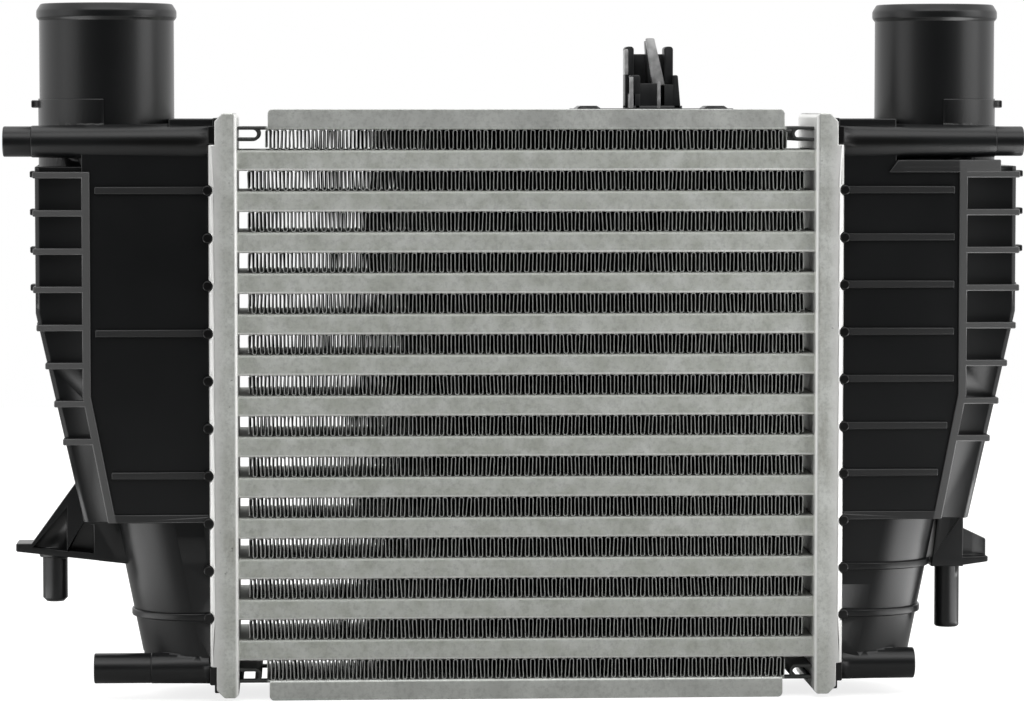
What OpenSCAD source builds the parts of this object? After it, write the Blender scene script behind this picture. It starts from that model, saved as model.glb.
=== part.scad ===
// Intercooler: a brazed aluminium core of flat tubes and corrugated fins between two
// crimped headers, with a moulded nylon end tank and hose spigot on each side.
// +X is to the right, +Y to the back and +Z up, in millimetres. The origin is the middle of
// the cooler's outer box, at the height of the bottom side plate that it stands on.

/* [Core] */
// Number of flat tubes
tube_count = 13; // [10:1:16]
// Height of a flat tube
tube_h = 8; // [7:0.5:10]
// Depth of the core from front to back
tube_depth = 48; // [42:1:56]
// Sheet thickness of a tube
tube_wall = 0.6; // [0.4:0.1:1]
// Corner radius of a tube's nose
tube_nose_r = 1.2; // [0.8:0.1:2]
// Height of a row of fins
fin_h = 7.5; // [6:0.5:9]
// Length of one wave of the fins
fin_pitch = 2.95; // [2.6:0.05:5]
// Sheet thickness of the fins
fin_sheet = 0.2; // [0.1:0.05:0.3]
// Width of the flat crest of a fin
fin_crest = 0.6; // [0.4:0.1:0.9]
// How far the fins stop behind the tube noses
fin_recess = 0.5; // [0:0.1:2]
// Width of the core between the two headers
core_w = 219; // [190:1:260]
// Gap between the ends of a row of fins and the header
fin_end_gap = 3.6; // [2:0.1:8]
// Length of one wave of the turbulator inside a tube
turb_pitch = 4.6; // [4:0.2:8]
// Sheet thickness of a turbulator
turb_sheet = 0.3; // [0.2:0.05:0.5]
// Clearance that braze metal fills between the core's pieces
braze_gap = 0.05; // [0.02:0.01:0.1]

/* [Side plates] */
// Height of a side plate's flanges
plate_h = 7.8; // [6:0.1:10]
// Distance of a side plate's flanges from the headers
plate_gap = 11.5; // [10:0.1:24]
// Sheet thickness of a side plate
plate_sheet = 1.2; // [0.8:0.1:1.6]
// Corner radius of the flanges' ends
plate_corner_r = 1.8; // [1:0.1:3]
// Height of the expansion loop between its two legs
loop_h = 4.3; // [3.6:0.1:4.8]
// Length of the expansion loop from the header to its round end
loop_len = 8.6; // [6:0.1:9.5]
// Width of the expansion strap
loop_w = 44; // [30:1:47]
// Gap between the outer rows of fins and the loops
loop_gap = 2; // [1:0.1:4]
// Width of each rail beside the strap's window
strap_rail = 4; // [2:0.5:8]

/* [Headers] */
// Width of a header from its face to its crimped edge
header_w = 10.9; // [9.5:0.1:14]
// Depth of a header from front to back
header_depth = 56; // [54:0.5:64]
// Sheet thickness of a header
header_sheet = 1.5; // [1:0.1:2]
// Bend radius along a header's edges
header_bend_r = 1.7; // [1:0.1:2.5]
// Distance of a header's ends from the ends of the core
header_inset = 1.6; // [0:0.1:3]
// Length of the plain stretch without a crimp at each end
plain_len = 11.8; // [8:0.1:16]
// Width of a header in its plain stretch
plain_w = 8.5; // [7:0.1:9]
// Chamfer of the plain stretch's corners
plain_chamfer = 3; // [1:0.1:4]
// Reach of the crimped lip over the tank foot
lip_reach = 3.4; // [2.6:0.1:4.5]
// Height of the lowest notch in the crimp
notch_z0 = 32; // [28:1:40]
// Distance between two notches
notch_pitch = 18; // [14:1:30]
// Radius of a notch
notch_r = 2.2; // [1.5:0.1:3]

/* [Tanks] */
// Clearance between the crimped lip and the tank's flat walls
lip_gap = 1.6; // [0.8:0.1:4]
// Wall thickness of a tank
tank_wall = 2.6; // [2:0.1:3.2]
// Wall thickness of the foot that the header grips
foot_wall = 2; // [1.4:0.1:2]
// Thickness of the compressed seal
seal_t = 1.6; // [1:0.1:2.4]
// Clearance between the foot and the header around it
foot_gap = 0.2; // [0.1:0.05:0.4]
// Height of the tanks' underside above the edge that the cooler stands on
tank_bottom_z = 6.6; // [5:0.2:9]
// Distance of the tank's roof below the top of the core
roof_drop = 3.6; // [3:0.1:6]
// Distance of the roof's outer end from the header's edge, on the left
left_roof_len = 14.9; // [10:0.1:19]
// Distance of the roof's outer end from the header's edge, on the right
right_roof_len = 20.4; // [10:0.1:24]
// How far the right tank's shelf runs past its roof
shelf_step = 0.2; // [0.1:0.1:3]
// Distance of the duct's shoulder below the top of the core
shoulder_drop = 21.6; // [20:0.2:26]
// Height of the knee where the duct starts to narrow
knee_z = 147.5; // [130:0.5:160]
// Depth of the pockets' floors behind the flat walls
pocket_depth = 2.5; // [1.5:0.1:4]
// Bevel along the duct's outer corners
duct_bevel = 1.5; // [0.8:0.1:3]
// Angle at which the duct narrows below the knee
duct_angle = 12.6; // [6:0.2:16]
// Angle at which the lower half-round narrows
lower_angle = 11.4; // [6:0.2:14]
// Radius of the tank's lower outer corner
tank_corner_r = 10; // [6:0.5:14]
// Width of the left duct beyond the header's edge
left_duct_w = 65.5; // [58:0.1:74]
// Width of the right duct beyond the header's edge
right_duct_w = 67.2; // [58:0.1:76]
// Width of the left lower half-round beyond the header's edge, at the ledge
left_lower_w = 36.2; // [32:0.1:42]
// Width of the right lower half-round beyond the header's edge, at the ledge
right_lower_w = 39.2; // [32:0.1:44]
// Width of the flat walls beyond the header's edge, above their bend
flat_wall_w = 47.8; // [42:0.1:54]
// Width of the flat walls beyond the header's edge, at the ledge
flat_wall_low_w = 38.5; // [34:0.1:44]
// Height at which the edge of the flat walls turns inwards
edge_bend_z = 116; // [100:1:130]
// Thickness of the flat walls where they run out past the round of the duct
flat_wall_t = 4.5; // [3:0.1:6]
// Thickness of the ledge under the duct
ledge_t = 3.2; // [2.4:0.1:5]

/* [Tank ribs] */
// Thickness of the ribs across the duct's cells
cell_rib_t = 2.5; // [1.6:0.1:4]
// How far the cell ribs stand proud of the duct's outer wall
cell_rib_proud = 0.6; // [0.3:0.1:1.5]
// Distance between two cell ribs
cell_pitch = 14.4; // [10:0.2:20]
// Distance of the top cell rib below the duct's shoulder
cell_drop = 3.2; // [2:0.1:8]
// How far the ribs stand proud of the tank's flat walls, front and back
rib_proud = 1.2; // [0.6:0.1:2]
// Width of the rib along the edge of the flat wall
edge_rib_w = 3.2; // [2:0.1:5]
// Height of a rib across the flat wall
face_rib_t = 2.8; // [1.6:0.1:4]
// Gap between the ribs across the flat wall and the rib along its edge
face_rib_gap = 1.7; // [1:0.1:4]
// Reach of the noses on the left tank's upper cell ribs
left_nose = 2.9; // [1:0.1:6]
// Number of the left tank's cell ribs whose nose has its full reach
left_nose_rows = 4; // [1:1:8]
// Reach of the noses on the right tank's upper cell ribs
right_nose = 5.4; // [1:0.1:7]
// Number of the right tank's cell ribs whose nose has its full reach
right_nose_rows = 3; // [1:1:8]
// Depth of a nose from front to back
nose_depth = 8; // [4:0.5:12]
// Radius of the lugs in the header's notches
lug_r = 1.9; // [1.2:0.1:2.1]

/* [Spigots] */
// Distance of each spigot's axis from the header's edge
spigot_offset = 39.3; // [35:0.1:43]
// Distance of the spigots behind the core's mid plane
spigot_y = 6; // [4:0.2:8]
// Outer radius of the left spigot
left_spigot_r = 25.7; // [22:0.1:26]
// Outer radius of the right spigot
right_spigot_r = 23; // [20:0.1:25]
// Height of the spigots above the top of the core
spigot_h = 40.2; // [30:0.2:60]
// Wall thickness of a spigot
spigot_wall = 3; // [2.4:0.1:4]
// Height of the bead at a spigot's mouth
bead_h = 6.5; // [5:0.1:9]
// Height of the bead's widest band
bead_land = 2.6; // [1:0.1:3.4]
// Height of the slope below the bead's widest band
bead_toe = 1.2; // [0.6:0.1:2]
// How far the collar below a spigot's hose stands proud
collar_proud = 0.5; // [0.2:0.1:1.2]
// How far the bead stands proud
bead_proud = 1.05; // [0.5:0.05:2]

/* [Bars and pegs] */
// Radius of the horizontal bars at their tips
bar_r = 5.75; // [4.5:0.05:6.5]
// Radius of the top bars at the header
bar_root_r = 7; // [5.5:0.1:7.2]
// Distance of the bars' centres from the top or bottom of the core
bar_inset = 12.2; // [11:0.1:13]
// Depth of the bars' centres behind the flat wall
bar_depth = 4; // [3:0.1:6]
// Length of the left top bar
left_bar_len = 77; // [66:0.2:90]
// Length of the right top bar
right_bar_len = 69.2; // [60:0.2:84]
// Length of the straight tip of a top bar
bar_tip = 10.5; // [6:0.5:14]
// Length of the left bar at the tank's foot
left_foot_bar_len = 44; // [34:0.2:60]
// Length of the right bar at the tank's foot
right_foot_bar_len = 28.5; // [20:0.2:60]
// Length of the straight tip of the left foot bar
foot_bar_tip = 21.5; // [16:0.5:30]
// How far a bar's body stands proud of its tip
bar_step = 0.15; // [0.05:0.05:0.5]
// How much a foot bar thickens from its tip to the header
bar_draft = 0.2; // [0.1:0.05:0.5]
// Radius of the locating pegs under the brackets
peg_r = 4.75; // [3:0.05:5.5]
// Distance of the left peg from the header's edge
left_peg_offset = 59.9; // [55:0.1:66]
// Distance of the right peg from the header's edge
right_peg_offset = 44.5; // [42:0.1:48]
// Length of the left peg below its boss
left_peg_len = 17; // [12:0.5:25]
// Length of the right peg below its bracket
right_peg_len = 24; // [12:0.5:30]
// Width of the boss round the root of the left peg
peg_boss = 1.2; // [0.6:0.1:2]
// Depth of the left bracket's foot plate below the ledge, at its outer end
left_bracket_drop = 12.4; // [9:0.2:16]
// Depth of the right bracket's box below the ledge
right_bracket_drop = 20.2; // [14:0.2:26]
// Thickness of the bracket plates
bracket_t = 3.1; // [2:0.1:4]
// Depth of the brackets from front to back
bracket_depth = 14; // [10:1:24]

/* [Top clip] */
// Distance of the clip's left end from the middle of the core
clip_x = 19; // [10:1:30]
// Length of the clip
clip_len = 59.6; // [50:0.2:70]
// Wall thickness of the clip's base
clip_wall = 2; // [1.4:0.1:3]
// Clearance between the clip and the side plate
clip_gap = 0.2; // [0.1:0.05:0.4]
// Height of the clip's pads above the side plate
clip_pad_h = 1.7; // [1:0.1:3]
// Height of the clip's centre rib above the side plate
clip_h = 27.2; // [20:0.2:35]

/* [Hidden] */
function two_digits(i) = i < 9 ? str("0", i + 1) : str(i + 1);
function tube_name(i) = str("tube_", two_digits(i));
function turbulator_name(i) = str("turbulator_", two_digits(i));
function fin_name(i) = str("fin_", two_digits(i));
$fn = 48;

// Colours of the bare metal, the nylon and the seal
tube_colour = [0.66, 0.67, 0.65];
fin_colour = [0.55, 0.56, 0.55];
header_colour = [0.72, 0.73, 0.71];
nylon_colour = [0.1, 0.1, 0.1];
rubber_colour = [0.05, 0.05, 0.06];

// Heights in the stack of tubes and fins
row_pitch = tube_h + fin_h;
core_h = tube_count * tube_h + (tube_count + 1) * fin_h;
plate_len = core_w - 2 * plate_gap;
top_z = core_h + 2 * plate_h;
function tube_z(i) = plate_h + fin_h + i * row_pitch;
function fin_z(i) = plate_h + i * row_pitch;

// Places of the header's sheet, counted outwards along X
face_x = core_w / 2;
edge_x = face_x + header_w;
header_floor_x = face_x + header_sheet;
lip_x = edge_x - header_sheet;
header_z0 = header_inset;
header_z1 = top_z - header_inset;
notch_x = edge_x + 0.6;
notch_count = floor((top_z - 2 * notch_z0 + 4) / notch_pitch) + 1;
function notch_z(k) = notch_z0 + k * notch_pitch;
tube_end_x = header_floor_x + 2;

// Places of the tank's foot, seal and walls
foot_y = header_depth / 2 - header_sheet - foot_gap;
foot_z0 = header_z0 + header_sheet + foot_gap;
foot_z1 = header_z1 - header_sheet - foot_gap;
foot_x = header_floor_x + seal_t;
foot_end_x = lip_x - foot_gap / 2;
foot_floor = 1.8;
tank_depth = header_depth - 2 * (lip_reach + lip_gap);
half_depth = tank_depth / 2;
roof_z = top_z - roof_drop;
shelf_z = top_z - bar_inset + 0.6;
shoulder_z = top_z - shoulder_drop;
cell_top_z = shoulder_z - cell_drop;
ledge_z = notch_z(2);
rib_y = half_depth + rib_proud;
cell_ribs = 1 + floor((cell_top_z - ledge_z) / cell_pitch - 1.8);
bar_y = bar_depth - half_depth;
top_bar_z = top_z - bar_inset;
overlap = 0.5;

// Places along X of what stands beyond the header's edge
left_reach = edge_x + left_duct_w;
right_reach = edge_x + right_duct_w;
left_lower_reach = edge_x + left_lower_w;
right_lower_reach = edge_x + right_lower_w;
edge_x_top = edge_x + flat_wall_w;
edge_x_ledge = edge_x + flat_wall_low_w;
spigot_x = edge_x + spigot_offset;
bar_x = edge_x + foot_gap;
left_bar_reach = bar_x + left_bar_len;
right_bar_reach = bar_x + right_bar_len;
left_peg_x = edge_x + left_peg_offset;
right_peg_x = edge_x + right_peg_offset;
duct_start_x = foot_end_x - foot_floor - overlap;
clamp_stop = 3;
spigot_sink = 7;

// The origin is the middle of the whole cooler's outer box, on its underside
box_x = (max(right_reach + right_nose, right_bar_reach) - max(left_reach + left_nose, left_bar_reach)) / 2;
box_y = (spigot_y + max(left_spigot_r, right_spigot_r) + bead_proud - header_depth / 2) / 2;
// The lower half-round lies just behind the flat walls
round_r = half_depth - 0.4;
neck_gap = 0.6;

// Outline of the duct seen from the front
function duct_reach(reach, z) = reach - max(0, knee_z - z) * tan(duct_angle);
function duct_axis_x(reach, z) = reach - round_r - max(0, knee_z - z) * tan(duct_angle);
function lower_axis_x(lower_reach, z) = lower_reach - round_r - (ledge_z - z) * tan(lower_angle);

// Edge of the flat wall, which turns inwards below the middle of the duct
function edge_x_at(z) =
    edge_x_ledge + (edge_x_top - edge_x_ledge) * min(1, (z - ledge_z) / (edge_bend_z - ledge_z));

// A sheet bent into a wave: crests along X, its height along Y, lying centred on the origin
function wave_points(pitch, height, sheet, crest, count) =
    let(
        run = pitch / 2 - crest,
        rise = height - sheet,
        slope = atan(run / rise),
        mitre = sheet / 2 * cos(slope) / (1 + sin(slope)),
        start = -(count - 1) * pitch / 4
    )
    concat(
        [for (j = [0:count - 1]) let(up = j % 2 == 0 ? 1 : -1)
            for (s = [-1, 1]) [start + j * pitch / 2 + s * (crest / 2 + up * mitre), up * rise / 2 + sheet / 2]],
        [for (j = [count - 1:-1:0]) let(up = j % 2 == 0 ? 1 : -1)
            for (s = [1, -1]) [start + j * pitch / 2 + s * (crest / 2 - up * mitre), up * rise / 2 - sheet / 2]]
    );

// Moves a piece from the middle of the core to the middle of the cooler's outer box
module placed() {
    translate([-box_x, -box_y, 0])
        children();
}

module rounded_rectangle(w, h, r) {
    square([w - 2 * r, h], center = true);
    square([w, h - 2 * r], center = true);
    for (x = [-1, 1], y = [-1, 1])
        translate([x * (w / 2 - r), y * (h / 2 - r)])
            circle(r);
}

// A profile drawn in Y and Z, run along X from x0 to x1
module along_x(x0, x1) {
    translate([x0, 0, 0])
        rotate([90, 0, 90])
            linear_extrude(height = x1 - x0)
                children();
}

// A profile drawn in X and Z, run along Y from y0 to y1
module along_y(y0, y1) {
    translate([0, y1, 0])
        rotate([90, 0, 0])
            linear_extrude(height = y1 - y0)
                children();
}

// A box given by its two opposite corners
module block(low, high) {
    translate(low)
        cube(high - low);
}

// A round bar along X, of radius r0 at x0 and r1 at x1
module round_bar(x0, x1, r0, r1, y, z) {
    translate([x0, y, z])
        rotate([0, 90, 0])
            cylinder(h = x1 - x0, r1 = r0, r2 = r1);
}

// Outline of a flat tube, grown all round by a margin
module tube_outline(margin) {
    rounded_rectangle(tube_depth + 2 * margin, tube_h + 2 * margin, tube_nose_r + margin);
}

module tube(i) {
    placed() color(tube_colour)
        translate([0, 0, tube_z(i) + tube_h / 2])
            difference() {
                along_x(-tube_end_x, tube_end_x)
                    tube_outline(0);
                along_x(-tube_end_x - 1, tube_end_x + 1)
                    rounded_rectangle(
                        tube_depth - 2 * tube_wall, tube_h - 2 * tube_wall, tube_nose_r - tube_wall / 2
                    );
            }
}

// The sheet of waves that stirs the air inside a tube
module turbulator(i) {
    room = tube_depth - 2 * tube_wall - 2 * tube_nose_r;
    crests = floor(room / (turb_pitch / 2));
    placed() color(fin_colour)
        translate([0, 0, tube_z(i) + tube_h / 2])
            along_x(-face_x, face_x)
                polygon(wave_points(
                    turb_pitch, tube_h - 2 * tube_wall, turb_sheet, turb_pitch / 5, crests
                ));
}

// A row of fins between two tubes, shorter beside the side plates
module fin(i) {
    outer_row = i == 0 || i == tube_count;
    span = outer_row ? core_w - 2 * (loop_len + loop_gap) : core_w - 2 * fin_end_gap;
    crests = floor((span - fin_crest) / (fin_pitch / 2)) + 1;
    placed() color(fin_colour)
        translate([0, 0, fin_z(i) + fin_h / 2])
            along_y(fin_recess - tube_depth / 2, tube_depth / 2 - fin_recess)
                polygon(wave_points(fin_pitch, fin_h, fin_sheet, fin_crest, crests));
}

// One end of a side plate's strap: a window for give, and a folded loop below it
module expansion_loop() {
    bend_x = face_x - loop_len + loop_h / 2 + plate_sheet / 2;
    outer_r = (loop_h + plate_sheet) / 2;
    window_y = loop_w / 2 - strap_rail;
    difference() {
        block(
            [plate_len / 2 - overlap, -loop_w / 2, plate_h - plate_sheet],
            [face_x, loop_w / 2, plate_h]
        );
        block(
            [plate_len / 2 + 1, -window_y, plate_h - plate_sheet - 1],
            [face_x - 1.5, window_y, plate_h + 0.01]
        );
    }
    block(
        [bend_x, -loop_w / 2, plate_h - plate_sheet + loop_h],
        [face_x, loop_w / 2, plate_h + loop_h]
    );
    difference() {
        translate([bend_x, 0, plate_h - plate_sheet / 2 + loop_h / 2])
            rotate([90, 0, 0])
                difference() {
                    cylinder(h = loop_w, r = outer_r, center = true);
                    cylinder(h = loop_w + 2, r = outer_r - plate_sheet, center = true);
                }
        block([bend_x, -loop_w, 0], [face_x, loop_w, plate_h + 2 * loop_h]);
    }
}

// A side plate lying under the core: a channel open downwards, with a loop at each end
module side_plate() {
    bend_r = plate_sheet;
    intersection() {
        along_x(-plate_len / 2, plate_len / 2)
            difference() {
                union() {
                    translate([-tube_depth / 2, 0])
                        square([tube_depth, plate_h - bend_r]);
                    translate([bend_r - tube_depth / 2, 0])
                        square([tube_depth - 2 * bend_r, plate_h]);
                    for (s = [-1, 1])
                        translate([s * (tube_depth / 2 - bend_r), plate_h - bend_r])
                            circle(bend_r);
                }
                translate([plate_sheet - tube_depth / 2, -1])
                    square([tube_depth - 2 * plate_sheet, plate_h - plate_sheet + 1]);
            }
        along_y(-tube_depth, tube_depth)
            union() {
                translate([-plate_len / 2, plate_corner_r])
                    square([plate_len, plate_h - plate_corner_r]);
                translate([plate_corner_r - plate_len / 2, 0])
                    square([plate_len - 2 * plate_corner_r, plate_h]);
                for (s = [-1, 1])
                    translate([s * (plate_len / 2 - plate_corner_r), plate_corner_r])
                        circle(plate_corner_r);
            }
    }
    for (s = [0, 1])
        mirror([s, 0, 0])
            expansion_loop();
}

module bottom_side_plate() {
    placed() color(header_colour)
        side_plate();
}

module top_side_plate() {
    placed() color(header_colour)
        translate([0, 0, top_z])
            mirror([0, 0, 1])
                side_plate();
}

// Front outline of a header, narrower and chamfered in its plain end stretches
module header_front() {
    plain_x = face_x + plain_w;
    inner_chamfer = 1.4;
    polygon([
        [face_x, header_z0 + inner_chamfer],
        [face_x + inner_chamfer, header_z0],
        [plain_x - plain_chamfer, header_z0],
        [plain_x, header_z0 + plain_chamfer],
        [plain_x, header_z0 + plain_len],
        [edge_x, header_z0 + plain_len],
        [edge_x, header_z1 - plain_len],
        [plain_x, header_z1 - plain_len],
        [plain_x, header_z1 - plain_chamfer],
        [plain_x - plain_chamfer, header_z1],
        [face_x + inner_chamfer, header_z1],
        [face_x, header_z1 - inner_chamfer],
    ]);
}

// The right header: a drawn pan with a slot for each tube and a lip crimped over the foot
module header() {
    difference() {
        intersection() {
            translate([face_x + header_w / 2, 0, 0])
                linear_extrude(height = top_z)
                    rounded_rectangle(header_w, header_depth, header_bend_r);
            along_y(-header_depth, header_depth)
                header_front();
        }
        block(
            [header_floor_x, header_sheet - header_depth / 2, header_z0 + header_sheet],
            [lip_x, header_depth / 2 - header_sheet, header_z1 - header_sheet]
        );
        block(
            [lip_x - overlap, lip_reach - header_depth / 2, header_z0 + header_sheet],
            [edge_x + 1, header_depth / 2 - lip_reach, header_z1 - header_sheet]
        );
        for (i = [0:tube_count - 1])
            translate([0, 0, tube_z(i) + tube_h / 2])
                along_x(face_x - 1, header_floor_x + 1)
                    tube_outline(braze_gap);
        for (k = [0:notch_count - 1])
            translate([notch_x, 0, notch_z(k)])
                rotate([90, 0, 0])
                    cylinder(h = header_depth + 2, r = notch_r, center = true);
    }
}

module right_header() {
    placed() color(header_colour)
        header();
}

module left_header() {
    placed() color(header_colour)
        mirror([1, 0, 0])
            header();
}

// The right seal: a rubber frame squeezed between the header's floor and the foot
module seal() {
    difference() {
        block([header_floor_x, -foot_y, foot_z0], [foot_x, foot_y, foot_z1]);
        block(
            [header_floor_x - 1, foot_wall - foot_y, foot_z0 + foot_wall],
            [foot_x + 1, foot_y - foot_wall, foot_z1 - foot_wall]
        );
    }
}

module right_seal() {
    placed() color(rubber_colour)
        seal();
}

module left_seal() {
    placed() color(rubber_colour)
        mirror([1, 0, 0])
            seal();
}

// Cuts away what lies past a bevel along an upright corner at the origin, from -h to h
module corner_cut(h) {
    size = 4 * duct_bevel;
    translate([-duct_bevel / 2, -duct_bevel / 2, -h])
        rotate([0, 0, 45])
            translate([0, -size / 2, 0])
                cube([size, size, 2 * h]);
}

// The duct above the ledge: a full-depth part, and beyond it a flatter part whose walls are
// the pockets' floors. Its outer wall stands upright to the knee and then slants inwards.
module upper_duct(inset, reach, floor_z) {
    axis_x = reach - round_r;
    out_x = reach - inset;
    panel_y = half_depth - pocket_depth - inset;
    difference() {
        along_y(-panel_y, panel_y)
            polygon([
                [duct_start_x, floor_z],
                [duct_reach(out_x, floor_z), floor_z],
                [out_x, knee_z],
                [out_x, shoulder_z - inset],
                [duct_start_x, shoulder_z - inset],
            ]);
        if (inset == 0)
            for (s = [0, 1])
                mirror([0, s, 0]) {
                    translate([out_x, panel_y, knee_z])
                        corner_cut(top_z);
                    translate([out_x, panel_y, knee_z])
                        rotate([0, duct_angle, 0])
                            corner_cut(top_z);
                }
    }
    along_y(inset - half_depth, half_depth - inset)
        polygon([
            [duct_start_x, floor_z],
            [duct_axis_x(reach, floor_z), floor_z],
            [axis_x, knee_z],
            [axis_x, shoulder_z - inset],
            [duct_start_x, shoulder_z - inset],
        ]);
}

// The half-round below the ledge, with a rounded lower corner
module lower_duct(inset, lower_reach) {
    low_z = tank_bottom_z + inset;
    high_z = ledge_z + ledge_t + overlap;
    corner_r = tank_corner_r - inset;
    corner_x = lower_axis_x(lower_reach, low_z + corner_r) + round_r - inset - corner_r;
    intersection() {
        translate([lower_axis_x(lower_reach, 0), 0, 0])
            rotate([0, lower_angle, 0])
                translate([0, 0, -half_depth])
                    cylinder(h = high_z + tank_depth, r = round_r - inset);
        along_y(-tank_depth, tank_depth) {
            translate([duct_start_x, low_z])
                square([corner_x - duct_start_x, high_z - low_z]);
            translate([corner_x, low_z + corner_r])
                circle(corner_r);
            translate([duct_start_x, low_z + corner_r])
                square([lower_reach + tank_depth - duct_start_x, high_z - low_z - corner_r]);
        }
    }
    along_y(inset - half_depth, half_depth - inset)
        polygon([
            [duct_start_x, low_z],
            [lower_axis_x(lower_reach, low_z), low_z],
            [lower_axis_x(lower_reach, high_z), high_z],
            [duct_start_x, high_z],
        ]);
}

// The tank's form without ribs, solid or drawn smaller all round as its cavity
module duct(inset, reach, lower_reach, shelf_x, roof_x) {
    r = half_depth - inset;
    upper_duct(inset, reach, ledge_z + (inset > 0 ? ledge_t : 0));
    lower_duct(inset, lower_reach);
    // Steps up to the roof beside the header
    block([duct_start_x, -r, shoulder_z - 5 - inset], [shelf_x - inset, r, shelf_z - inset]);
    block([duct_start_x, -r, shoulder_z - 5 - inset], [roof_x - inset, r, roof_z - inset]);
}

// The pipe that joins a spigot to the duct, leaning back from the duct to the spigot
module neck(r_top, r_low) {
    low_z = knee_z + 4;
    high_z = shoulder_z - 2;
    lean = atan(spigot_y / (high_z - low_z));
    translate([spigot_x, spigot_y, high_z])
        rotate([180 - lean, 0, 0])
            cylinder(h = (high_z - low_z) / cos(lean), r1 = r_top, r2 = r_low);
}

// A hose spigot with its bead, from inside the tank to its mouth
module spigot(r) {
    base_z = shoulder_z - spigot_sink;
    mouth_z = top_z + spigot_h;
    lead_in = 0.6;
    bead_z = mouth_z - bead_h;
    land_z = bead_z + bead_toe;
    translate([spigot_x, spigot_y, 0]) {
        translate([0, 0, base_z])
            cylinder(h = bead_z - base_z + overlap, r = r);
        translate([0, 0, bead_z])
            cylinder(h = bead_toe, r1 = r, r2 = r + bead_proud);
        translate([0, 0, land_z])
            cylinder(h = bead_land, r = r + bead_proud);
        translate([0, 0, land_z + bead_land])
            cylinder(h = mouth_z - land_z - bead_land, r1 = r + bead_proud, r2 = r - lead_in);
        // Collar round the spigot's outer side, and the stop for the hose clamp
        intersection() {
            translate([0, 0, base_z])
                cylinder(h = top_z + 4 - base_z, r = r + collar_proud);
            block([0, -2 * r, base_z - 1], [2 * r, 2 * r, mouth_z]);
        }
        block([r - 2, -4, top_z + 0.5], [r + clamp_stop, 4, top_z + 3.4]);
    }
}

// The right tank before its cavity is cut
module tank_solid(
    reach, lower_reach, r, shelf_x, roof_x, face_top, nose, nose_rows, rib_step, ring_from
) {
    duct(0, reach, lower_reach, shelf_x, roof_x);
    neck(r - 0.4, half_depth - pocket_depth - neck_gap);
    spigot(r);
    // Foot in the header, and the blocks that carry it past the plain stretches
    block([foot_x, -foot_y, foot_z0], [foot_end_x, foot_y, foot_z1]);
    for (z = [[foot_z0 + 3, header_z0 + plain_len - foot_gap], [header_z1 - plain_len + foot_gap, foot_z1 - 3]])
        block([foot_end_x - overlap, -foot_y, z[0]], [edge_x + foot_gap, foot_y, z[1]]);
    // Flat walls that run out past the round of the duct, with the rib along their edge
    for (s = [0, 1])
        mirror([0, s, 0]) {
            along_y(-half_depth, flat_wall_t - half_depth)
                polygon([
                    [foot_end_x, ledge_z],
                    [edge_x_ledge, ledge_z],
                    [edge_x_top, edge_bend_z],
                    [edge_x_top, face_top],
                    [min(edge_x_top, shelf_x) - overlap, face_top],
                    [foot_end_x, shoulder_z],
                ]);
            along_y(-rib_y, -half_depth + overlap)
                polygon([
                    [edge_x_ledge - edge_rib_w, ledge_z],
                    [edge_x_ledge, ledge_z],
                    [edge_x_top, edge_bend_z],
                    [edge_x_top, cell_top_z + cell_rib_t / 2],
                    [edge_x_top - edge_rib_w, cell_top_z + cell_rib_t / 2],
                    [edge_x_top - edge_rib_w, edge_bend_z],
                ]);
        }
    // Ledge that closes the duct's overhang
    block([edge_x + foot_gap, -rib_y, ledge_z], [edge_x_ledge, rib_y, ledge_z + ledge_t]);
    // Ribs across the cells, from the edge rib out, each with a nose at the middle of its depth
    for (k = [0:cell_ribs - 1]) {
        z = cell_top_z - k * cell_pitch;
        out_x = duct_reach(reach, z);
        nose_x = out_x + nose * min(1, max(0, 1 - 0.42 * (k - nose_rows + 1)));
        block(
            [edge_x_at(z) - edge_rib_w / 2, -rib_y, z - cell_rib_t / 2],
            [out_x + cell_rib_proud, rib_y, z + cell_rib_t / 2]
        );
        block(
            [duct_axis_x(reach, z), -nose_depth / 2, z - cell_rib_t / 2],
            [nose_x, nose_depth / 2, z + cell_rib_t / 2]
        );
    }
    // Ribs across the flat wall and rings round the half-round, each in line with a notch
    for (k = [0:notch_count - 1]) {
        z = notch_z(k);
        for (s = [-1, 1])
            translate([notch_x - 0.2, s * (half_depth - 1 + foot_y + 1) / 2, z])
                rotate([90, 0, 0])
                    cylinder(h = foot_y + 2 - half_depth, r = lug_r, center = true);
        if (k > 2 && (notch_count - 1 - k) % rib_step == 0) {
            rib_end = edge_x_at(z) - edge_rib_w - face_rib_gap;
            block([notch_x, -rib_y, z - face_rib_t / 2], [rib_end, rib_y, z + face_rib_t / 2]);
        }
        if (k < 2 && k <= ring_from) {
            block(
                [notch_x, -rib_y, z - face_rib_t / 2],
                [lower_axis_x(lower_reach, z), rib_y, z + face_rib_t / 2]
            );
            intersection() {
                translate([lower_axis_x(lower_reach, z), 0, z - face_rib_t / 2])
                    cylinder(h = face_rib_t, r = rib_y);
                block([notch_x, -rib_y - 1, z - face_rib_t], [edge_x_top, rib_y + 1, z + face_rib_t]);
            }
        }
    }
}

// The cavity of a tank, from its mouth at the seal to the spigot's bore
module tank_cavity(reach, lower_reach, r, shelf_x, roof_x) {
    duct(tank_wall, reach, lower_reach, shelf_x, roof_x);
    block(
        [foot_x - 1, foot_wall - foot_y, foot_z0 + foot_wall],
        [foot_end_x - foot_floor, foot_y - foot_wall, foot_z1 - foot_wall]
    );
    neck(r - spigot_wall - 0.4, half_depth - pocket_depth - tank_wall - neck_gap);
    translate([spigot_x, spigot_y, shoulder_z - spigot_sink])
        cylinder(h = spigot_h + shoulder_drop + 10, r = r - spigot_wall);
}

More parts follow.
